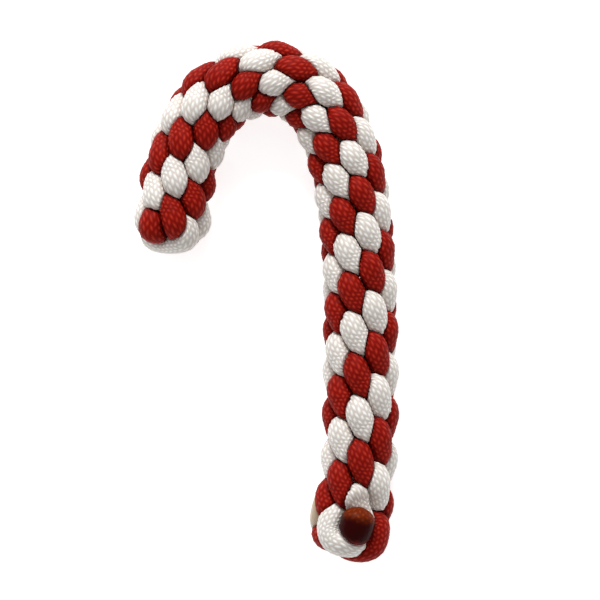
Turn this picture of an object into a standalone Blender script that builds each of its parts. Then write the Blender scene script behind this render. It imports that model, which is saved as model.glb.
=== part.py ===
"""A candy cane ornament of knotted cord, lying on its back.

A red and a white cord cross at their middles at the hook's end. Their four
halves, the strands, are tied as a round crown sinnet: in each layer every
strand arches over its neighbour and dives under the next arch, and each layer
is turned on from the last one. The sinnet is bent into a cane. At the stem's
end the strands are tucked under one another, cut short and melted.

The cane lies in the XY plane, hook up at +Y and stem down at -Y, and rests on
small flats pressed into its lowest arches at z = 0. Lengths are millimetres
and angles degrees until the meshes are written in metres.
"""

import bmesh
import bpy
import numpy as np

MM = 0.001

# Cord
CORD_WIDTH = 4.3
CORD_THICKNESS = 3.8
CORD_GAP = 0.3
AXIS_HEIGHT = 5.95

# Cane axis: length and clockwise turn of each arc, from the hook's end down
HOOK_END = (-16.50, 9.58)
HOOK_HEADING = 89.0
CANE_ARCS = (
    (10.4, 8.9),
    (13.1, 21.0),
    (12.7, 55.3),
    (13.8, 68.2),
    (14.4, 18.8),
    (19.3, 6.8),
    (22.0, 1.5),
    (23.0, 12.0),
)
ARC_BLEND = 2.0
AXIS_STEP = 0.1
AXIS_SPARE = 12.0
BARE_AXIS_ENDS = (4.0, 2.0)
BARE_AXIS_STEP = 0.25

# Sinnet: each table gives a value at a layer, counted from the hook's end
STRANDS = 4
LAST_LAYER = 37
FIRST_ARCH_AT = 2.3
LAYER_TURN = 135.0
LAYER_HEIGHTS = ((0, 3.46), (12, 2.65), (22, 3.24), (30, 3.69), (38, 4.02))
LAYER_TWISTS = (
    (0, -39), (2, -33), (6, -14), (9.5, 3), (12, 1), (15, -13),
    (18, -20), (22, -15), (28, -4), (32, 9), (37, 19),
)
TWIST_BLEND = 0.9
MEAN_HEIGHT = 3.2
LAYER_STEP = 0.05
POINTS_PER_LAYER = 12

# One arch of a strand, as waves over one layer
ARCH_RADIUS = 3.25
ARCH_RISE = 1.5
ARCH_RISE_SHAPE = (-0.1, -0.2)
ARCH_LEAD = 0.5
ARCH_SWAY = (-11.5, -5.0, 0.5)
ARCH_REACH = (1.5, 0.25, -0.2)

# Points along each cord between and beyond the layers: across the end
# towards the outside of the bend, along the axis, and up, from the axis at
# the hook's end or at the last layer
HOOK_LAYERS = {0: 0.14, 1: 0.14, 2: 0.06, 3: 0.06}
WHITE_CROSSING = ((-2.5, 1.3, 2.6), (0.3, 0.6, 0.4), (3.3, 1.3, -1.7))
RED_CROSSING = ((3.1, 2.6, 2.6), (0.9, 2.9, 0.2), (-1.3, 2.3, -2.3))
TAIL_STARTS = {0: 36.45, 1: 35.75, 2: 36.90, 3: 36.80}
TAILS = {
    0: ((-2.8, -3.6, 2.2), (-3.8, -1.9, 2.8), (-3.9, 0.1, 3.0), (-2.9, 1.8, 3.6),
        (-1.2, 2.2, 4.1), (0.7, 2.1, 3.3), (1.6, 1.3, 1.5), (1.5, -0.1, 0.3)),
    1: ((-5.0, -6.7, 0.3), (-5.2, -4.8, 1.0), (-4.2, -2.8, 1.6), (-1.9, -1.4, 1.6),
        (-0.1, -2.4, 1.7), (1.2, -3.1, 2.1), (4.2, -2.4, 1.6), (4.7, 0.0, 1.4),
        (4.2, 1.9, 1.3), (2.4, 2.9, 1.2), (-0.2, 2.8, 0.0), (-1.6, 1.4, -1.4)),
    2: ((2.2, 1.2, -4.3), (-0.4, 2.2, -4.2), (-2.9, 1.3, -3.9),
        (-5.2, -0.6, -2.8), (-5.7, -2.7, -1.1), (-5.2, -6.0, -1.1)),
    3: ((-3.7, -1.2, -2.0), (-4.7, 1.2, -1.5), (-3.7, 1.9, 0.1),
        (-1.3, 1.6, 1.5), (0.0, 1.3, 3.3), (0.5, -0.4, 5.0), (0.8, -4.4, 5.6)),
}
ROUNDED_END = 1.8
END_FLATNESS = 0.2
MELTED_SWELLING = {3: 1.42}
MELTED_LENGTH = 7.0
MELTED_FADE = 0.33

# Mesh
RING_SPACING = 1.75
RING_SIDES = 6
FINER = 4
FITTING_ROUNDS = 1
GUIDE_STEP = 0.4
NEIGHBOUR_REACH = 6.0
OWN_REACH = 5.5
OUTER_FAVOUR = 3.0
SHARE_LIMITS = (0.3, 1.7)
CORNER_SHARPNESS = 10.0
NO_LIMIT = 1e3
TWIST_CARRIED = 0.5
CURVE_SAMPLES = 16

# Woven nylon
RED = (0.45, 0.02, 0.01)
WHITE = (0.82, 0.80, 0.78)
NYLON_ROUGHNESS = 0.6


def softened(values, width):
    """Smooth a sampled curve with a bell of this width, in samples."""
    half = int(4 * width)
    bell = np.exp(-0.5 * (np.arange(-half, half + 1) / width) ** 2)
    padded = np.pad(values, half, mode="edge")
    return np.convolve(padded, bell / bell.sum(), mode="valid")


def table_at(table, position):
    """Read a table of (position, value) pairs, straight between its rows."""
    rows = np.array(table, float)
    return np.interp(position, rows[:, 0], rows[:, 1])


def cane_axis():
    """Sample the bent axis as distance, x, y and heading in radians."""
    ends = np.cumsum([0.0] + [length for length, turn in CANE_ARCS])
    along = np.arange(-AXIS_SPARE, ends[-1] + AXIS_SPARE, AXIS_STEP)
    bend = np.zeros_like(along)
    for (length, turn), start in zip(CANE_ARCS, ends):
        inside = (along >= start) & (along < start + length)
        bend[inside] = np.radians(turn) / length
    bend = softened(bend, ARC_BLEND / AXIS_STEP)
    origin = int(np.argmin(np.abs(along)))
    heading = -np.cumsum(bend) * AXIS_STEP
    heading += np.radians(HOOK_HEADING) - heading[origin]
    x = np.cumsum(np.cos(heading)) * AXIS_STEP
    y = np.cumsum(np.sin(heading)) * AXIS_STEP
    return along, x - x[origin] + HOOK_END[0], y - y[origin] + HOOK_END[1], heading


def layer_tables():
    """Sample where each layer sits along the axis and how far it is turned."""
    layers = np.arange(-2.0, LAST_LAYER + 2.0, LAYER_STEP)
    heights = table_at(LAYER_HEIGHTS, layers)
    rises = (heights[1:] + heights[:-1]) / 2 * LAYER_STEP
    along = np.concatenate([[0.0], np.cumsum(rises)])
    along += FIRST_ARCH_AT - np.interp(0.0, layers, along)
    twists = softened(table_at(LAYER_TWISTS, layers), TWIST_BLEND / LAYER_STEP)
    return layers, along, twists


AXIS = cane_axis()
LAYERS = layer_tables()


def axis_frame(distance):
    """Return the axis point and its outward side at a distance along it."""
    along, x, y, heading = AXIS
    turned = np.interp(distance, along, heading)
    point = np.stack([
        np.interp(distance, along, x),
        np.interp(distance, along, y),
        np.full_like(turned, AXIS_HEIGHT),
    ], axis=-1)
    outward = np.stack([-np.sin(turned), np.cos(turned), np.zeros_like(turned)], axis=-1)
    return point, outward


def strand_points(strand, layer):
    """Return points of a strand's centre at layer numbers, whole or part."""
    wave = 2 * np.pi * layer
    radius = (
        ARCH_RADIUS
        + ARCH_RISE * np.cos(wave)
        + ARCH_RISE_SHAPE[0] * np.cos(2 * wave)
        + ARCH_RISE_SHAPE[1] * np.cos(3 * wave)
        - ARCH_LEAD * np.sin(wave)
    )
    angle = np.radians(
        360 / STRANDS * strand
        + LAYER_TURN * layer
        + np.interp(layer, LAYERS[0], LAYERS[2])
        + ARCH_SWAY[0] * np.sin(wave)
        + ARCH_SWAY[1] * np.cos(wave)
        + ARCH_SWAY[2] * np.sin(2 * wave)
    )
    reach = (
        ARCH_REACH[0] * np.sin(wave)
        + ARCH_REACH[1] * np.cos(wave)
        + ARCH_REACH[2] * np.sin(3 * wave)
    )
    height = table_at(LAYER_HEIGHTS, layer) / MEAN_HEIGHT
    centre, outward = axis_frame(np.interp(layer, LAYERS[0], LAYERS[1]) + reach * height)
    up = np.array([0.0, 0.0, 1.0])
    return (
        centre
        + outward * (radius * np.sin(angle))[:, None]
        + up * (radius * np.cos(angle))[:, None]
    )


def end_points(distance, offsets):
    """Place (across, along, up) offsets about the axis at a distance."""
    centre, outward = axis_frame(np.array([distance]))
    centre, outward = centre[0], outward[0]
    forward = np.array([outward[1], -outward[0], 0.0])
    up = np.array([0.0, 0.0, 1.0])
    return np.array([
        centre + outward * across + forward * along + up * rise
        for across, along, rise in offsets
    ])


def strand_route(strand):
    """Return a strand's guide points from the hook's end to its cut end."""
    first = HOOK_LAYERS[strand]
    last = TAIL_STARTS[strand]
    layers = np.linspace(first, last, int((last - first) * POINTS_PER_LAYER))
    last_layer_at = np.interp(LAST_LAYER, LAYERS[0], LAYERS[1])
    return np.concatenate([
        strand_points(strand, layers),
        end_points(last_layer_at, TAILS[strand]),
    ])


def cord_route(first_strand, second_strand, crossing):
    """Join two strands through the crossing, from one cut end to the other."""
    return np.concatenate([
        strand_route(first_strand)[::-1],
        end_points(0.0, crossing),
        strand_route(second_strand),
    ])


def smooth_curve(points, spacing, finer=1):
    """Resample a smooth curve through the points, evenly, `finer` to a spacing."""
    steps = np.linalg.norm(np.diff(points, axis=0), axis=1)
    knots = np.concatenate([[0.0], np.cumsum(np.sqrt(steps))])
    slopes = np.gradient(points, knots, axis=0)
    fine = np.linspace(0, knots[-1], len(points) * CURVE_SAMPLES)
    cell = np.clip(np.searchsorted(knots, fine, side="right") - 1, 0, len(knots) - 2)
    width = (knots[cell + 1] - knots[cell])[:, None]
    t = (fine - knots[cell])[:, None] / width
    curve = (
        (2 * t**3 - 3 * t**2 + 1) * points[cell]
        + (t**3 - 2 * t**2 + t) * width * slopes[cell]
        + (3 * t**2 - 2 * t**3) * points[cell + 1]
        + (t**3 - t**2) * width * slopes[cell + 1]
    )
    steps = np.linalg.norm(np.diff(curve, axis=0), axis=1)
    travelled = np.concatenate([[0.0], np.cumsum(steps)])
    count = int(round(travelled[-1] / spacing)) * finer + 1
    even = np.linspace(0, travelled[-1], count)
    return even, np.stack([np.interp(even, travelled, curve[:, k]) for k in range(3)], axis=1)


def from_axis(points):
    """Return each point's offset from the cane's axis, or from its ends beyond them."""
    last_layer_at = np.interp(LAST_LAYER, LAYERS[0], LAYERS[1])
    first, last = BARE_AXIS_ENDS
    distances = np.arange(first, last_layer_at - last, BARE_AXIS_STEP)
    axis_points, _ = axis_frame(distances)
    away = points[:, None] - axis_points[None]
    nearest = np.argmin((away**2).sum(axis=2), axis=1)
    return away[np.arange(len(points)), nearest]


def axis_distances(points):
    """Return how far each point is from the cane's axis."""
    return np.linalg.norm(from_axis(points), axis=1)


def cord_frames(points):
    """Return the outer and side directions of a cord's section at each point."""
    tangents = np.gradient(points, axis=0)
    tangents /= np.linalg.norm(tangents, axis=1)[:, None]
    outward = from_axis(points)
    outward /= np.maximum(np.linalg.norm(outward, axis=1), 1e-6)[:, None]
    wanted = outward - (outward * tangents).sum(axis=1)[:, None] * tangents
    outer = np.zeros_like(points)
    current = wanted[0]
    for index, tangent in enumerate(tangents):
        carried = current - current.dot(tangent) * tangent
        carried /= np.linalg.norm(carried)
        current = carried * TWIST_CARRIED + wanted[index]
        current -= current.dot(tangent) * tangent
        current /= np.linalg.norm(current)
        outer[index] = current
    return outer, np.cross(tangents, outer)


def pressed_radii(travelled, points, directions, cord, guides):
    """Limit each section so that neighbouring cords press flat on each other.

    The cord further from the cane's axis stays rounder than the one under it.
    """
    limits = np.full(directions.shape[:2], NO_LIMIT)
    reach = axis_distances(points)
    for other, (other_travelled, other_points) in enumerate(guides):
        other_reach = axis_distances(other_points)
        for index in range(len(points)):
            offsets = other_points - points[index]
            squared = (offsets**2).sum(axis=1)
            close = squared < NEIGHBOUR_REACH**2
            if other == cord:
                close &= np.abs(other_travelled - travelled[index]) > OWN_REACH
            if not close.any():
                continue
            facing = directions[index] @ offsets[close].T + CORD_GAP
            favour = OUTER_FAVOUR * (reach[index] - other_reach[close])
            least, most = np.outer(SHARE_LIMITS, squared[close])
            share = np.clip(squared[close] + favour, least, most)
            room = (share - CORD_GAP**2) / (2 * np.maximum(facing, 1e-6))
            room[facing <= 0] = NO_LIMIT
            limits[index] = np.minimum(limits[index], room.min(axis=1))
    return limits


def end_swelling(travelled, strand, from_start):
    """Return the melted bulge and the rounding of one cut end."""
    distance = travelled if from_start else travelled[-1] - travelled
    swelling = MELTED_SWELLING.get(strand, 1.0) - 1.0
    bulge = 1.0 + swelling * np.clip((1 - distance / MELTED_LENGTH) / MELTED_FADE, 0, 1)
    short = np.clip(distance / (ROUNDED_END * (1 + swelling)), 0, 1)
    return bulge * np.sqrt(np.maximum(1 - (1 - short) ** 2, END_FLATNESS**2))


def shrinking_needed(excess):
    """Share each fine sample's excess among the coarse corners around it."""
    needed = np.zeros((len(excess[::FINER]), RING_SIDES))
    padded = np.pad(excess, ((FINER, FINER), (0, 0)), mode="edge")
    for ring_shift in range(1 - FINER, FINER):
        rows = padded[FINER + ring_shift:][::FINER][:len(needed)]
        for corner_shift in range(1 - FINER, FINER):
            share = (1 - abs(ring_shift) / FINER) * (1 - abs(corner_shift) / FINER)
            nearby = np.roll(rows, -corner_shift, axis=1)[:, ::FINER]
            needed = np.maximum(needed, share * nearby)
    return 1 + needed


def between_corners(radii):
    """Read coarse radii at every fine ring and corner, straight between them."""
    rings, corners = radii.shape
    ring = np.arange((rings - 1) * FINER + 1) / FINER
    low = np.minimum(ring.astype(int), rings - 2)
    part_way = (ring - low)[:, None]
    along = radii[low] * (1 - part_way) + radii[low + 1] * part_way
    corner = np.arange(corners * FINER) / FINER
    left = corner.astype(int)
    part_way = corner - left
    return along[:, left] * (1 - part_way) + along[:, (left + 1) % corners] * part_way


def fitted_radii(allowed):
    """Shrink coarse radii until the faces between them keep to the allowed ones."""
    radii = allowed[::FINER, ::FINER]
    for _ in range(FITTING_ROUNDS):
        excess = np.maximum(between_corners(radii) / allowed - 1, 0)
        radii = radii / shrinking_needed(excess)
    return radii


def cord_sections(route, strands, cord, guides):
    """Return the rings of corner points of one cord."""
    travelled, points = smooth_curve(route, RING_SPACING, FINER)
    outer, side = cord_frames(points)
    corners = (np.arange(RING_SIDES * FINER) / FINER + 0.5) * 2 * np.pi / RING_SIDES
    directions = (
        outer[:, None] * np.cos(corners)[None, :, None]
        + side[:, None] * np.sin(corners)[None, :, None]
    )
    limits = pressed_radii(travelled, points, directions, cord, guides)
    oval = 1 / np.hypot(
        np.cos(corners) / (CORD_THICKNESS / 2),
        np.sin(corners) / (CORD_WIDTH / 2),
    )
    scale = end_swelling(travelled, strands[0], True) * end_swelling(travelled, strands[1], False)
    scale *= np.sqrt(2 * np.pi / RING_SIDES / np.sin(2 * np.pi / RING_SIDES))
    free = oval[None] * scale[:, None]
    allowed = (free**-CORNER_SHARPNESS + limits**-CORNER_SHARPNESS) ** (-1 / CORNER_SHARPNESS)
    rings = points[::FINER, None] + directions[::FINER, ::FINER] * fitted_radii(allowed)[..., None]
    rings[..., 2] = np.maximum(rings[..., 2], 0.0)
    return rings


def cord_material(name, colour):
    """Make the woven nylon of one cord."""
    material = bpy.data.materials.new(name)
    material.use_nodes = True
    shader = material.node_tree.nodes["Principled BSDF"]
    shader.inputs["Base Color"].default_value = (*colour, 1.0)
    shader.inputs["Roughness"].default_value = NYLON_ROUGHNESS
    shader.inputs["Metallic"].default_value = 0.0
    return material


def cord_object(name, rings, material):
    """Sweep a cord's section from ring to ring as one closed solid."""
    form = bmesh.new()
    end = form.faces.new([form.verts.new(corner * MM) for corner in rings[0]])
    for index, ring in enumerate(rings[1:]):
        grown = bmesh.ops.extrude_face_region(form, geom=[end])
        if index > 0:
            form.faces.remove(end)
        end = next(piece for piece in grown["geom"] if isinstance(piece, bmesh.types.BMFace))
        for corner, place in zip(end.verts, ring):
            corner.co = place * MM
    bmesh.ops.recalc_face_normals(form, faces=form.faces)
    mesh = bpy.data.meshes.new(name)
    form.to_mesh(mesh)
    form.free()
    mesh.materials.append(material)
    mesh.shade_smooth()
    cord = bpy.data.objects.new(name, mesh)
    bpy.context.scene.collection.objects.link(cord)
    return cord


def main():
    for old in list(bpy.data.objects):
        bpy.data.objects.remove(old)
    cords = (
        ("cord_white", (0, 2), WHITE_CROSSING, WHITE),
        ("cord_red", (1, 3), RED_CROSSING, RED),
    )
    routes = [cord_route(first, second, crossing) for _, (first, second), crossing, _ in cords]
    guides = [smooth_curve(route, GUIDE_STEP) for route in routes]
    for index, (name, strands, _, colour) in enumerate(cords):
        rings = cord_sections(routes[index], strands, index, guides)
        cord_object(name, rings, cord_material(name, colour))


main()
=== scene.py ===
"""The knotted cord candy cane, dressed: woven sheaths, melted ends, floor, light and camera.

Both cords follow the routes of the frame's solids, sampled finely and fitted a
little closer to the photograph at the ends. Lengths are millimetres and angles
degrees until the meshes are written in metres. The woven material reads a UV
map of the columns round each cord and the grains along it, and how near each
point is to a crease between two cords. From these it paints highlights on the
grains' crowns, shade in the grooves between them and shade along the creases.
"""

import bpy
import numpy as np
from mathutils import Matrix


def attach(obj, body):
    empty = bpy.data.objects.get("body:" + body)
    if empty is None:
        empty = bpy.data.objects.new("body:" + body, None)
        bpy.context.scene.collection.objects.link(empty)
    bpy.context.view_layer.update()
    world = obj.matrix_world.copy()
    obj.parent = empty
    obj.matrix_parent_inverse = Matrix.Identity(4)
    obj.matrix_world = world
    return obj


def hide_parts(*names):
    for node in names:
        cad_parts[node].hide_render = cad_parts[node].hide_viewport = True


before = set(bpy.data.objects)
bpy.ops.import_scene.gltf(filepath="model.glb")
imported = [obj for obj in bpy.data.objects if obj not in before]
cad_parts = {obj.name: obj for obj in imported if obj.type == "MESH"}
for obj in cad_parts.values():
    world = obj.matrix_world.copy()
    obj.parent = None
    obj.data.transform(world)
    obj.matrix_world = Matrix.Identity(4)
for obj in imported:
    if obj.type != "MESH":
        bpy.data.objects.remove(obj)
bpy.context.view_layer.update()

MM = 0.001

# Cord
CORD_WIDTH = 4.7
CORD_THICKNESS = 3.95
CORD_GAP = 0.03
AXIS_HEIGHT = 5.95

# Cane axis: length and clockwise turn of each arc, from the hook's end down
HOOK_END = (-16.50, 9.58)
HOOK_HEADING = 89.0
CANE_ARCS = (
    (10.4, 8.9),
    (13.1, 21.0),
    (12.7, 55.3),
    (13.8, 68.2),
    (14.4, 18.8),
    (19.3, 6.8),
    (22.0, 1.5),
    (23.0, 12.0),
)
ARC_BLEND = 2.0
AXIS_STEP = 0.1
AXIS_SPARE = 12.0
BARE_AXIS_ENDS = (4.0, 2.0)
BARE_AXIS_STEP = 0.25

# Sinnet: the strands of the white cord and of the red one, and tables that
# give a value at a layer, counted from the hook's end
STRANDS = 4
CORD_STRANDS = ((0, 2), (1, 3))
LAST_LAYER = 37
FIRST_ARCH_AT = 2.3
LAYER_TURN = 135.0
LAYER_HEIGHTS = ((0, 3.46), (12, 2.65), (22, 3.24), (30, 3.69), (38, 4.02))
LAYER_TWISTS = (
    (0, -39), (2, -33), (6, -14), (9.5, 3), (12, 1), (15, -13),
    (18, -20), (22, -15), (28, -4), (32, 9), (37, 19),
)
TWIST_BLEND = 0.9
MEAN_HEIGHT = 3.2
LAYERS_SPARE = 2.0
LAYER_STEP = 0.05
POINTS_PER_LAYER = 12

# One arch of a strand, as waves over one layer
ARCH_RADIUS = 3.25
ARCH_RISE = 1.5
ARCH_RISE_SHAPE = (-0.1, -0.2)
ARCH_LEAD = 0.5
ARCH_SWAY = (-11.5, -5.0, 0.5)
ARCH_REACH = (1.5, 0.25, -0.2)

# Points along each cord between and beyond the layers: across the end
# towards the outside of the bend, along the axis, and up, from the axis at
# the hook's end or at the last layer
HOOK_LAYERS = {0: 0.14, 1: 0.22, 2: 0.06, 3: 0.06}
WHITE_CROSSING = ((-2.5, 1.3, 2.6), (0.3, 0.6, 0.4), (3.3, 1.3, -1.7))
RED_CROSSING = (
    (3.4, 4.7, 3.4), (3.5, 2.5, 3.3), (0.9, 2.6, 0.2), (-1.9, 1.1, -2.6),
)
TAIL_STARTS = {0: 36.45, 1: 35.75, 2: 36.90, 3: 36.80}
TAILS = {
    0: ((-2.8, -3.6, 2.2), (-3.8, -1.9, 2.8), (-3.9, 0.1, 3.0), (-2.9, 1.8, 3.6),
        (-1.2, 2.2, 4.1), (0.7, 2.1, 3.3), (1.6, 1.3, 1.5), (1.5, -0.1, 0.3)),
    1: ((-5.0, -6.7, 0.3), (-5.2, -4.8, 1.0), (-4.2, -2.8, 1.6), (-1.9, -1.4, 1.6),
        (-0.1, -2.4, 1.7), (1.2, -3.1, 2.1), (4.2, -2.4, 1.6), (4.7, 0.0, 1.4),
        (4.2, 1.9, 1.3), (2.4, 2.9, 1.2), (-0.2, 2.8, 0.0), (-1.6, 1.4, -1.4)),
    2: ((2.2, 1.2, -4.3), (-0.4, 2.2, -4.2), (-2.9, 1.3, -3.9),
        (-5.2, -0.6, -2.8), (-5.5, -2.7, -1.1), (-5.0, -6.5, -1.1)),
    3: ((-3.7, -1.2, -2.0), (-4.7, 1.2, -1.5), (-3.7, 1.9, 0.1),
        (-1.3, 1.6, 1.5), (0.0, 1.3, 3.3), (0.6, -0.6, 5.1), (0.9, -4.7, 5.9)),
}
ROUNDED_END = 1.8
END_FLATNESS = 0.2
MELTED_SWELLING = {3: 1.25}
MELTED_LENGTH = 7.0
MELTED_FADE = 0.33

# Weave: the sheath's yarns show as leaning grains in columns along the cord,
# raised in the mesh and finished by the material's bump
WEAVE_COLUMNS = 18
GRAIN_LENGTH = 0.87
GRAIN_LEAN = 0.3
GRAIN_RELIEF = 0.07
GRAIN_BUMP = 0.1
MELTED_BUMP_SHARE = 0.2

# Woven nylon: how strongly the painted highlights on the grains' crowns show, where the
# painted groove shade gives way to the yarn colour, and the sizes of its patches
CROWN_HIGHLIGHT_STRENGTHS = (0.75, 1.25)
GROOVE_SHADE_OVER = (0.0, 0.4)
WORN_PATCH = 2.5
WORN_OVER = (0.3, 0.7)
RAGGED_PATCH = 1.2
NOISE_DETAIL = 2.0
NYLON_ROUGHNESS = 0.5
SHEEN_ROUGHNESS = 0.5

# Mesh: a point on each grain's crown and one in each groove round it
RING_SPACING = GRAIN_LENGTH / 2
RING_SIDES = 2 * WEAVE_COLUMNS
SECTION_ANGLES = 48
CURVE_SAMPLES = 16
TWIST_CARRIED = 0.5
TINY = 1e-6

# Pressing: how neighbouring cords share the room between them, and from which
# nearness to a crease the painted crease shade begins
GUIDE_STEP = 0.5
NEIGHBOUR_REACH = 6.0
OWN_REACH = 5.5
OUTER_FAVOUR = 3.0
SHARE_LIMITS = (0.3, 1.7)
NO_LIMIT = 1e3
CORNER_SHARPNESS = 13.0
PRESSED_OVER = 0.05
PRESSED_RELIEF = 0.8
CREASE_SHADE_FROM = 0.72

# View: the photographed frame is this wide, around this point
FRAME_WIDTH = 104.0
FRAME_CENTRE = (5.75, 0.23)
CAMERA_LENS = 300.0
CAMERA_SENSOR = 36.0

# Floor and light: lengths in metres, but the drop in millimetres
FLOOR_REACH = 4.0
FLOOR_DROP = 0.05
FLOOR_COLOUR = (0.7, 0.7, 0.7, 1.0)
FLOOR_GLOW = 0.7
FLOOR_ROUGHNESS = 0.9
KEY_PLACE = (-0.1, 1.15, 0.75)
KEY_POWER = 16.5
KEY_SIZE = 0.5
WORLD_STRENGTH = 0.51
PLAIN_WHITE = (1.0, 1.0, 1.0, 1.0)

# A colour mix node's two colour inputs and its colour output, by number
MIX_INPUTS = (6, 7)
MIX_OUTPUT = 2


def softened(values, width):
    """Smooth a sampled curve with a bell of this width, in samples."""
    half = int(4 * width)
    bell = np.exp(-0.5 * (np.arange(-half, half + 1) / width) ** 2)
    padded = np.pad(values, half, mode="edge")
    return np.convolve(padded, bell / bell.sum(), mode="valid")


def table_at(table, position):
    """Read a table of (position, value) pairs, straight between its rows."""
    rows = np.array(table, float)
    return np.interp(position, rows[:, 0], rows[:, 1])


def cane_axis():
    """Sample the bent axis as distance, x, y and heading in radians."""
    ends = np.cumsum([0.0] + [length for length, turn in CANE_ARCS])
    along = np.arange(-AXIS_SPARE, ends[-1] + AXIS_SPARE, AXIS_STEP)
    bend = np.zeros_like(along)
    for (length, turn), start in zip(CANE_ARCS, ends):
        inside = (along >= start) & (along < start + length)
        bend[inside] = np.radians(turn) / length
    bend = softened(bend, ARC_BLEND / AXIS_STEP)
    origin = int(np.argmin(np.abs(along)))
    heading = -np.cumsum(bend) * AXIS_STEP
    heading += np.radians(HOOK_HEADING) - heading[origin]
    x = np.cumsum(np.cos(heading)) * AXIS_STEP
    y = np.cumsum(np.sin(heading)) * AXIS_STEP
    return along, x - x[origin] + HOOK_END[0], y - y[origin] + HOOK_END[1], heading


def layer_tables():
    """Sample where each layer sits along the axis and how far it is turned."""
    layers = np.arange(-LAYERS_SPARE, LAST_LAYER + LAYERS_SPARE, LAYER_STEP)
    heights = table_at(LAYER_HEIGHTS, layers)
    rises = (heights[1:] + heights[:-1]) / 2 * LAYER_STEP
    along = np.concatenate([[0.0], np.cumsum(rises)])
    along += FIRST_ARCH_AT - np.interp(0.0, layers, along)
    twists = softened(table_at(LAYER_TWISTS, layers), TWIST_BLEND / LAYER_STEP)
    return layers, along, twists


AXIS = cane_axis()
LAYERS = layer_tables()


def axis_frame(distance):
    """Return the axis point and its outward side at a distance along it."""
    along, x, y, heading = AXIS
    turned = np.interp(distance, along, heading)
    point = np.stack([
        np.interp(distance, along, x),
        np.interp(distance, along, y),
        np.full_like(turned, AXIS_HEIGHT),
    ], axis=-1)
    outward = np.stack([-np.sin(turned), np.cos(turned), np.zeros_like(turned)], axis=-1)
    return point, outward


def strand_points(strand, layer):
    """Return points of a strand's centre at layer numbers, whole or part."""
    wave = 2 * np.pi * layer
    radius = (
        ARCH_RADIUS
        + ARCH_RISE * np.cos(wave)
        + ARCH_RISE_SHAPE[0] * np.cos(2 * wave)
        + ARCH_RISE_SHAPE[1] * np.cos(3 * wave)
        - ARCH_LEAD * np.sin(wave)
    )
    angle = np.radians(
        360 / STRANDS * strand
        + LAYER_TURN * layer
        + np.interp(layer, LAYERS[0], LAYERS[2])
        + ARCH_SWAY[0] * np.sin(wave)
        + ARCH_SWAY[1] * np.cos(wave)
        + ARCH_SWAY[2] * np.sin(2 * wave)
    )
    reach = (
        ARCH_REACH[0] * np.sin(wave)
        + ARCH_REACH[1] * np.cos(wave)
        + ARCH_REACH[2] * np.sin(3 * wave)
    )
    height = table_at(LAYER_HEIGHTS, layer) / MEAN_HEIGHT
    centre, outward = axis_frame(np.interp(layer, LAYERS[0], LAYERS[1]) + reach * height)
    up = np.array([0.0, 0.0, 1.0])
    return (
        centre
        + outward * (radius * np.sin(angle))[:, None]
        + up * (radius * np.cos(angle))[:, None]
    )


def end_points(distance, offsets):
    """Place (across, along, up) offsets about the axis at a distance."""
    centre, outward = axis_frame(np.array([distance]))
    centre, outward = centre[0], outward[0]
    forward = np.array([outward[1], -outward[0], 0.0])
    up = np.array([0.0, 0.0, 1.0])
    return np.array([
        centre + outward * across + forward * along + up * rise
        for across, along, rise in offsets
    ])


def strand_route(strand):
    """Return a strand's guide points from the hook's end to its cut end."""
    first = HOOK_LAYERS[strand]
    last = TAIL_STARTS[strand]
    layers = np.linspace(first, last, int((last - first) * POINTS_PER_LAYER))
    last_layer_at = np.interp(LAST_LAYER, LAYERS[0], LAYERS[1])
    return np.concatenate([
        strand_points(strand, layers),
        end_points(last_layer_at, TAILS[strand]),
    ])


def cord_route(first_strand, second_strand, crossing):
    """Join two strands through the crossing, from one cut end to the other."""
    return np.concatenate([
        strand_route(first_strand)[::-1],
        end_points(0.0, crossing),
        strand_route(second_strand),
    ])


def at_places(places, travelled, rows):
    """Read rows of numbers, known at the distances travelled, at other places."""
    columns = [np.interp(places, travelled, column) for column in rows.T]
    return np.stack(columns, axis=1)


def smooth_curve(points, spacing):
    """Resample a smooth curve through the points, evenly."""
    steps = np.linalg.norm(np.diff(points, axis=0), axis=1)
    knots = np.concatenate([[0.0], np.cumsum(np.sqrt(steps))])
    slopes = np.gradient(points, knots, axis=0)
    fine = np.linspace(0, knots[-1], len(points) * CURVE_SAMPLES)
    cell = np.clip(np.searchsorted(knots, fine, side="right") - 1, 0, len(knots) - 2)
    width = (knots[cell + 1] - knots[cell])[:, None]
    t = (fine - knots[cell])[:, None] / width
    curve = (
        (2 * t**3 - 3 * t**2 + 1) * points[cell]
        + (t**3 - 2 * t**2 + t) * width * slopes[cell]
        + (3 * t**2 - 2 * t**3) * points[cell + 1]
        + (t**3 - t**2) * width * slopes[cell + 1]
    )
    steps = np.linalg.norm(np.diff(curve, axis=0), axis=1)
    travelled = np.concatenate([[0.0], np.cumsum(steps)])
    even = np.linspace(0, travelled[-1], int(round(travelled[-1] / spacing)) + 1)
    return even, at_places(even, travelled, curve)


def from_axis(points):
    """Return each point's offset from the cane's axis, or from its ends beyond them."""
    last_layer_at = np.interp(LAST_LAYER, LAYERS[0], LAYERS[1])
    first, last = BARE_AXIS_ENDS
    distances = np.arange(first, last_layer_at - last, BARE_AXIS_STEP)
    axis_points, _ = axis_frame(distances)
    away = points[:, None] - axis_points[None]
    nearest = np.argmin((away**2).sum(axis=2), axis=1)
    return away[np.arange(len(points)), nearest]


def axis_distances(points):
    """Return how far each point is from the cane's axis."""
    return np.linalg.norm(from_axis(points), axis=1)


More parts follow.
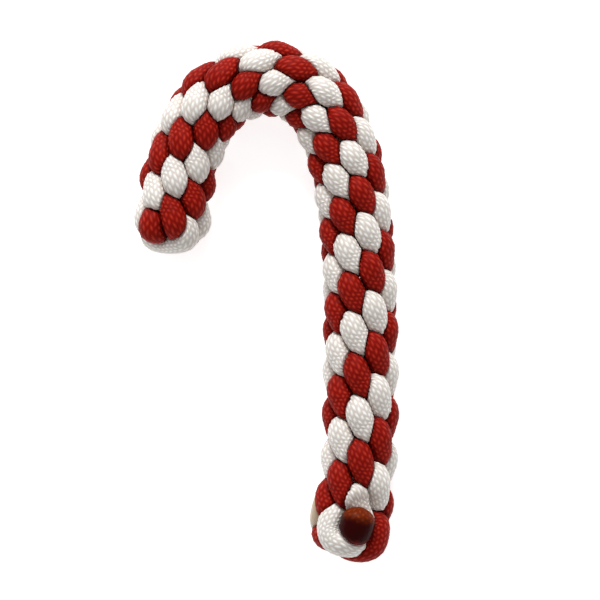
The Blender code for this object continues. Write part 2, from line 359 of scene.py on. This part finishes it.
def cord_frames(points):
    """Return the outer and side directions of a cord's section at each point."""
    tangents = np.gradient(points, axis=0)
    tangents /= np.linalg.norm(tangents, axis=1)[:, None]
    outward = from_axis(points)
    outward /= np.maximum(np.linalg.norm(outward, axis=1), TINY)[:, None]
    wanted = outward - (outward * tangents).sum(axis=1)[:, None] * tangents
    outer = np.zeros_like(points)
    current = wanted[0]
    for index, tangent in enumerate(tangents):
        carried = current - current.dot(tangent) * tangent
        carried /= np.linalg.norm(carried)
        current = carried * TWIST_CARRIED + wanted[index]
        current -= current.dot(tangent) * tangent
        current /= np.linalg.norm(current)
        outer[index] = current
    return outer, np.cross(tangents, outer)


def melted_bulge(travelled, strands):
    """Return how much thicker a cord's melted ends are than the cord."""
    bulge = np.ones_like(travelled)
    for strand, distance in zip(strands, (travelled, travelled[-1] - travelled)):
        swelling = MELTED_SWELLING.get(strand, 1.0) - 1.0
        bulge += swelling * np.clip((1 - distance / MELTED_LENGTH) / MELTED_FADE, 0, 1)
    return bulge


def end_rounding(travelled, strands):
    """Return how a cord narrows to its rounded ends."""
    rounding = np.ones_like(travelled)
    for strand, distance in zip(strands, (travelled, travelled[-1] - travelled)):
        short = np.clip(distance / (ROUNDED_END * MELTED_SWELLING.get(strand, 1.0)), 0, 1)
        rounding *= np.sqrt(np.maximum(1 - (1 - short) ** 2, END_FLATNESS**2))
    return rounding


def firmness(travelled, points, strands):
    """Return how firmly each point of a cord holds its place among its neighbours."""
    thicker = melted_bulge(travelled, strands) ** 2 - 1
    return OUTER_FAVOUR * axis_distances(points) + thicker * (CORD_THICKNESS / 2) ** 2


def pressed_radii(travelled, points, directions, cord, guides):
    """Limit each section so that neighbouring cords press flat on each other.

    The cord further from the cane's axis stays rounder than the one under it,
    and so does the thicker one.
    """
    limits = np.full(directions.shape[:2], NO_LIMIT)
    standing = firmness(travelled, points, CORD_STRANDS[cord])
    for other, (other_travelled, other_points) in enumerate(guides):
        other_standing = firmness(other_travelled, other_points, CORD_STRANDS[other])
        for index in range(len(points)):
            offsets = other_points - points[index]
            squared = (offsets**2).sum(axis=1)
            close = squared < NEIGHBOUR_REACH**2
            if other == cord:
                close &= np.abs(other_travelled - travelled[index]) > OWN_REACH
            if not close.any():
                continue
            facing = directions[index] @ offsets[close].T + CORD_GAP
            favour = standing[index] - other_standing[close]
            least, most = np.outer(SHARE_LIMITS, squared[close])
            share = np.clip(squared[close] + favour, least, most)
            room = (share - CORD_GAP**2) / (2 * np.maximum(facing, TINY))
            room[facing <= 0] = NO_LIMIT
            limits[index] = np.minimum(limits[index], room.min(axis=1))
    return limits


def evenly_round(ring):
    """Respace a ring's points evenly from its inner side to its outer one and back.

    Each point is x, y and z, and a fourth number that is carried along.
    """
    half = SECTION_ANGLES // 2
    closed = np.vstack([ring, ring[:1]])
    halves = []
    for side in (closed[:half + 1], closed[half:]):
        steps = np.linalg.norm(np.diff(side[:, :3], axis=0), axis=1)
        travelled = np.concatenate([[0.0], np.cumsum(steps)])
        even = np.linspace(0, travelled[-1], RING_SIDES // 2, endpoint=False)
        halves.append(at_places(even, travelled, side))
    return np.vstack(halves)


def grooved(rings, centres, travelled):
    """Sink every point that isn't on a grain's crown, but not near the cut ends."""
    ring = np.arange(len(rings))[:, None]
    corner = np.arange(RING_SIDES)[None]
    crown = (corner % 2 == 1) & ((ring + corner // 2) % 2 == 1)
    from_end = np.minimum(travelled, travelled[-1] - travelled)[:, None]
    woven = np.clip((from_end - MELTED_LENGTH / 2) / (MELTED_LENGTH / 2), 0, 1)
    depth = np.where(crown, 0.0, GRAIN_RELIEF) * woven
    inward = centres[:, None] - rings
    inward /= np.maximum(np.linalg.norm(inward, axis=2), TINY)[..., None]
    return rings + inward * depth[..., None]


def cord_sections(route, cord, guides):
    """Return one cord's rings of points, and how near each is to a crease, which sets the
    painted crease shade.
    """
    strands = CORD_STRANDS[cord]
    travelled, points = smooth_curve(route, RING_SPACING)
    outer, side = cord_frames(points)
    corners = (np.arange(SECTION_ANGLES) / SECTION_ANGLES - 0.5) * 2 * np.pi
    directions = (
        outer[:, None] * np.cos(corners)[None, :, None]
        + side[:, None] * np.sin(corners)[None, :, None]
    )
    limits = pressed_radii(travelled, points, directions, cord, guides)
    oval = 1 / np.hypot(
        np.cos(corners) / (CORD_THICKNESS / 2),
        np.sin(corners) / (CORD_WIDTH / 2),
    )
    scale = melted_bulge(travelled, strands) * end_rounding(travelled, strands)
    free = oval[None] * scale[:, None]
    radii = (free**-CORNER_SHARPNESS + limits**-CORNER_SHARPNESS) ** (-1 / CORNER_SHARPNESS)

    # Where cords are pressed together, their grains fill the grooves
    pressed = np.clip((free / radii - 1) / PRESSED_OVER, 0, 1)
    radii += pressed * PRESSED_RELIEF * GRAIN_RELIEF
    rings = points[:, None] + directions * radii[..., None]

    # How near each point is to a crease between cords, which sets the painted crease shade
    crease_shade_mask = np.clip((free / limits - CREASE_SHADE_FROM) / (1 - CREASE_SHADE_FROM), 0, 1)
    carried = np.concatenate([rings, crease_shade_mask[..., None]], axis=2)
    carried = np.array([evenly_round(ring) for ring in carried])
    rings = grooved(carried[..., :3], points, travelled)
    rings[..., 2] = np.maximum(rings[..., 2], 0.0)
    return rings, carried[..., 3]


def cord_piece(name, rings, crease_shade_mask, material):
    """Make one cord as a closed mesh, with a UV map of its weave and the nearness to its
    creases that sets the painted crease shade.
    """
    count = len(rings)
    ring = np.repeat(np.arange(count - 1), RING_SIDES)
    corner = np.tile(np.arange(RING_SIDES), count - 1)
    around = np.stack([corner, corner + 1, corner + 1, corner], axis=1)
    onward = np.stack([ring, ring, ring + 1, ring + 1], axis=1)
    quads = onward * RING_SIDES + around % RING_SIDES
    first_end = list(range(RING_SIDES))[::-1]
    last_end = list(range((count - 1) * RING_SIDES, count * RING_SIDES))
    points = (rings.reshape(-1, 3) * MM).tolist()
    mesh = bpy.data.meshes.new(name)
    mesh.from_pydata(points, [], [*quads.tolist(), first_end, last_end])

    # Columns round the cord, and grains along it
    weave = np.stack([around / 2, onward / 2], axis=-1).reshape(-1, 2)
    ends = [[0.0, 0.0]] * RING_SIDES + [[0.0, (count - 1) / 2]] * RING_SIDES
    layer = mesh.uv_layers.new(name="weave")
    layer.data.foreach_set("uv", np.concatenate([weave, ends]).ravel())
    # Nearness to a crease, from which the material paints shade along the creases
    crease_shade_layer = mesh.attributes.new("crease_shade", "FLOAT", "POINT")
    crease_shade_layer.data.foreach_set("value", crease_shade_mask.ravel())

    mesh.materials.append(material)
    mesh.shade_smooth()
    piece = bpy.data.objects.new(name, mesh)
    bpy.context.scene.collection.objects.link(piece)
    return piece


def feed(tree, socket, value):
    """Give a socket a number, a colour of three numbers or another node's output."""
    if isinstance(value, (int, float)):
        socket.default_value = value
    elif isinstance(value, tuple):
        socket.default_value = (*value, 1.0)
    else:
        tree.links.new(value, socket)


def maths(tree, operation, *values):
    """Add a math node on numbers or other nodes' outputs."""
    node = tree.nodes.new("ShaderNodeMath")
    node.operation = operation
    for socket, value in zip(node.inputs, values):
        feed(tree, socket, value)
    return node.outputs[0]


def ramped(tree, value, low, high):
    """Rise smoothly from 0 to 1 as a value goes from low to high."""
    node = tree.nodes.new("ShaderNodeMapRange")
    node.interpolation_type = "SMOOTHSTEP"
    node.inputs["From Min"].default_value = low
    node.inputs["From Max"].default_value = high
    tree.links.new(value, node.inputs["Value"])
    return node.outputs["Result"]


def mixed(tree, factor, low, high, blend="MIX"):
    """Mix two colours, each a triple or another node's output."""
    node = tree.nodes.new("ShaderNodeMix")
    node.data_type = "RGBA"
    node.blend_type = blend
    feed(tree, node.inputs["Factor"], factor)
    for number, colour in zip(MIX_INPUTS, (low, high)):
        feed(tree, node.inputs[number], colour)
    return node.outputs[MIX_OUTPUT]


def noise(tree, size):
    """Add noise with features of about this size."""
    place = tree.nodes.new("ShaderNodeTexCoord")
    node = tree.nodes.new("ShaderNodeTexNoise")
    node.inputs["Scale"].default_value = 1 / (size * MM)
    node.inputs["Detail"].default_value = NOISE_DETAIL
    tree.links.new(place.outputs["Object"], node.inputs["Vector"])
    return node.outputs["Fac"]


def hump(tree, value):
    """Rise smoothly from 0 at -0.5 to 1 at 0, and fall again to 0 at 0.5."""
    wave = maths(tree, "COSINE", maths(tree, "MULTIPLY", value, 2 * np.pi))
    return maths(tree, "MULTIPLY_ADD", wave, 0.5, 0.5)


def woven_grains(tree, column_at, grain_at):
    """Return each point's height on its grain, its nearness to the crown, which places the
    painted highlight, and a chance.
    """
    across = maths(tree, "SUBTRACT", maths(tree, "FRACT", column_at), 0.5)
    odd = maths(tree, "MODULO", maths(tree, "FLOOR", column_at), 2.0)
    lean = maths(tree, "MULTIPLY_ADD", odd, -2.0 * GRAIN_LEAN, GRAIN_LEAN)
    steps = maths(tree, "MULTIPLY_ADD", odd, 0.5, grain_at)
    phase = maths(tree, "MULTIPLY_ADD", lean, across, steps)
    lengthwise = maths(tree, "SUBTRACT", maths(tree, "FRACT", phase), 0.5)
    grain = tree.nodes.new("ShaderNodeCombineXYZ")
    tree.links.new(maths(tree, "FLOOR", column_at), grain.inputs["X"])
    tree.links.new(maths(tree, "FLOOR", phase), grain.inputs["Y"])
    chance = tree.nodes.new("ShaderNodeTexWhiteNoise")
    chance.noise_dimensions = "2D"
    tree.links.new(grain.outputs["Vector"], chance.inputs["Vector"])
    swell = hump(tree, lengthwise)
    height = maths(tree, "MULTIPLY", hump(tree, across), swell)
    crown_highlight_dots = maths(tree, "MULTIPLY", height, swell)
    return height, crown_highlight_dots, chance.outputs["Value"]


def sheath_colour(tree, looks, grains, painted_crown_highlight):
    """Return the colour of the sound sheath: yarns with painted shade in their grooves and a
    painted highlight on their crowns, worn patches, and painted shade along the creases.
    """
    # Painted shade: darker from the yarns' flanks into the grooves between them
    yarns_and_groove_shade = mixed(tree, ramped(tree, grains, *GROOVE_SHADE_OVER), looks["groove"], looks["yarn"])
    # Painted highlight: the grain colour brightens each yarn's crown
    sheath = mixed(tree, painted_crown_highlight, yarns_and_groove_shade, looks["grain"])
    patches = ramped(tree, noise(tree, WORN_PATCH), *WORN_OVER)
    wear_and_crease_shade = mixed(tree, patches, looks["shade"], (1.0, 1.0, 1.0))
    # Painted shade: darker towards the creases where two cords press on each other
    crease_shade = tree.nodes.new("ShaderNodeAttribute")
    crease_shade.attribute_name = "crease_shade"
    wear_and_crease_shade = mixed(tree, ramped(tree, crease_shade.outputs["Fac"], 0.0, 1.0), wear_and_crease_shade, looks["crease_shade"])
    return mixed(tree, 1.0, sheath, wear_and_crease_shade, blend="MULTIPLY")


def sheath_material(name, looks, rings):
    """Make a woven nylon sheath that is melted at the cord's last end."""
    material = bpy.data.materials.new(name)
    material.use_nodes = True
    tree = material.node_tree
    shader = tree.nodes["Principled BSDF"]
    weave = tree.nodes.new("ShaderNodeUVMap")
    weave.uv_map = "weave"
    split = tree.nodes.new("ShaderNodeSeparateXYZ")
    tree.links.new(weave.outputs["UV"], split.inputs["Vector"])
    column_at, grain_at = split.outputs["X"], split.outputs["Y"]

    grains, crown_highlight_dots, chance = woven_grains(tree, column_at, grain_at)
    # Painted highlight: a bright dot on each grain's crown, of random strength from grain to
    # grain
    weakest, strongest = CROWN_HIGHLIGHT_STRENGTHS
    strength = maths(tree, "MULTIPLY_ADD", chance, strongest - weakest, weakest)
    painted_crown_highlight = maths(tree, "MULTIPLY", crown_highlight_dots, strength)
    sound = sheath_colour(tree, looks, grains, painted_crown_highlight)

    from_end = maths(tree, "MULTIPLY_ADD", grain_at, -GRAIN_LENGTH, (rings - 1) * RING_SPACING)
    patches = noise(tree, RAGGED_PATCH)
    ragged = maths(tree, "MULTIPLY_ADD", patches, looks["ragged"], from_end)
    unmelted = ramped(tree, ragged, *looks["melted_over"])
    # The scorched tip keeps a painted highlight on its crowns and painted shade in its grooves
    scorched_and_highlit = mixed(tree, painted_crown_highlight, looks["tip_groove"], looks["tip"])
    melt = mixed(tree, ramped(tree, ragged, *looks["tip_over"]), scorched_and_highlit, looks["melt"])
    feed(tree, shader.inputs["Base Color"], mixed(tree, unmelted, melt, sound))

    rough = tree.nodes.new("ShaderNodeMapRange")
    rough.inputs["To Min"].default_value = looks["melt_roughness"]
    rough.inputs["To Max"].default_value = NYLON_ROUGHNESS
    feed(tree, rough.inputs["Value"], unmelted)
    feed(tree, shader.inputs["Roughness"], rough.outputs["Result"])
    shader.inputs["Specular IOR Level"].default_value = looks["specular"]
    shader.inputs["Sheen Weight"].default_value = looks["sheen"]
    shader.inputs["Sheen Roughness"].default_value = SHEEN_ROUGHNESS

    share = maths(tree, "MULTIPLY_ADD", unmelted, 1 - MELTED_BUMP_SHARE, MELTED_BUMP_SHARE)
    bump = tree.nodes.new("ShaderNodeBump")
    bump.inputs["Strength"].default_value = 1.0
    bump.inputs["Distance"].default_value = GRAIN_BUMP * MM
    feed(tree, bump.inputs["Height"], maths(tree, "MULTIPLY", grains, share))
    feed(tree, shader.inputs["Normal"], bump.outputs["Normal"])
    return material


RED_LOOKS = {
    # Painted highlight on the yarns' crowns
    "grain": (0.48, 0.034, 0.018),
    "yarn": (0.30, 0.009, 0.004),
    # Painted shade in the grooves between the yarns
    "groove": (0.235, 0.005, 0.002),
    "shade": (0.82, 0.78, 0.78),
    # Painted shade along the creases between cords
    "crease_shade": (0.50, 0.38, 0.38),
    "melt": (0.028, 0.0003, 0.0003),
    # Scorched tip colours: lighter on the crowns as a painted highlight, darker in the grooves
    # as painted shade
    "tip": (0.24, 0.034, 0.003),
    "tip_groove": (0.13, 0.014, 0.001),
    "melted_over": (5.0, 6.8),
    "tip_over": (1.4, 3.4),
    "ragged": 1.2,
    "melt_roughness": 0.4,
    "specular": 0.05,
    "sheen": 0.0,
}
WHITE_LOOKS = {
    # Painted highlight on the yarns' crowns
    "grain": (1.0, 0.98, 0.95),
    "yarn": (0.81, 0.765, 0.715),
    # Painted shade in the grooves between the yarns
    "groove": (0.645, 0.59, 0.54),
    "shade": (0.93, 0.93, 0.92),
    # Painted shade along the creases between cords
    "crease_shade": (0.93, 0.89, 0.87),
    "melt": (0.46, 0.34, 0.22),
    # Scorched tip colours: lighter on the crowns as a painted highlight, darker in the grooves
    # as painted shade
    "tip": (0.44, 0.30, 0.13),
    "tip_groove": (0.34, 0.20, 0.08),
    "melted_over": (5.0, 7.5),
    "tip_over": (0.5, 2.0),
    "ragged": 1.0,
    "melt_roughness": 0.3,
    "specular": 0.5,
    "sheen": 0.2,
}


def make_cords():
    """Make both dressed cords in place of the frame's solids."""
    cords = (
        ("cord_white", "white_sheath", WHITE_CROSSING, WHITE_LOOKS),
        ("cord_red", "red_sheath", RED_CROSSING, RED_LOOKS),
    )
    routes = [
        cord_route(*strands, crossing)
        for strands, (_, _, crossing, _) in zip(CORD_STRANDS, cords)
    ]
    guides = [smooth_curve(route, GUIDE_STEP) for route in routes]
    for index, (node, name, _, looks) in enumerate(cords):
        rings, crease_shade_mask = cord_sections(routes[index], index, guides)
        material = sheath_material(name, looks, len(rings))
        piece = cord_piece(name, rings, crease_shade_mask, material)
        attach(piece, "root")
        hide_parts(node)


def make_floor():
    """Lay a plain pale floor under the cane."""
    mesh = bpy.data.meshes.new("floor")
    corners = [(-1, -1), (1, -1), (1, 1), (-1, 1)]
    mesh.from_pydata(
        [(x * FLOOR_REACH, y * FLOOR_REACH, 0.0) for x, y in corners],
        [],
        [(0, 1, 2, 3)],
    )
    material = bpy.data.materials.new("floor")
    material.use_nodes = True
    shader = material.node_tree.nodes["Principled BSDF"]
    shader.inputs["Base Color"].default_value = FLOOR_COLOUR
    shader.inputs["Roughness"].default_value = FLOOR_ROUGHNESS
    shader.inputs["Specular IOR Level"].default_value = 0.0
    shader.inputs["Emission Color"].default_value = PLAIN_WHITE
    shader.inputs["Emission Strength"].default_value = FLOOR_GLOW
    mesh.materials.append(material)
    floor = bpy.data.objects.new("floor", mesh)
    floor.location.z = -FLOOR_DROP * MM
    bpy.context.scene.collection.objects.link(floor)


def make_lighting():
    """Light the cane softly from beyond its hook, with a pale world around."""
    lamp = bpy.data.lights.new("key", "AREA")
    lamp.energy = KEY_POWER
    lamp.size = KEY_SIZE
    light = bpy.data.objects.new("key", lamp)
    light.location = KEY_PLACE
    light.rotation_euler = (-light.location).to_track_quat("-Z", "Y").to_euler()
    light.visible_camera = False
    bpy.context.scene.collection.objects.link(light)
    world = bpy.data.worlds.new("studio")
    world.use_nodes = True
    backdrop = world.node_tree.nodes["Background"]
    backdrop.inputs["Color"].default_value = PLAIN_WHITE
    backdrop.inputs["Strength"].default_value = WORLD_STRENGTH
    bpy.context.scene.world = world
    bpy.context.scene.view_settings.view_transform = "Standard"


def make_camera():
    """Look straight down at the cane, as the photograph does."""
    lens = bpy.data.cameras.new("camera")
    lens.lens = CAMERA_LENS
    lens.sensor_width = CAMERA_SENSOR
    camera = bpy.data.objects.new("camera", lens)
    across, along = FRAME_CENTRE
    rise = AXIS_HEIGHT + FRAME_WIDTH * CAMERA_LENS / CAMERA_SENSOR
    camera.location = (across * MM, along * MM, rise * MM)
    bpy.context.scene.collection.objects.link(camera)
    bpy.context.scene.camera = camera


make_cords()
make_floor()
make_lighting()
make_camera()
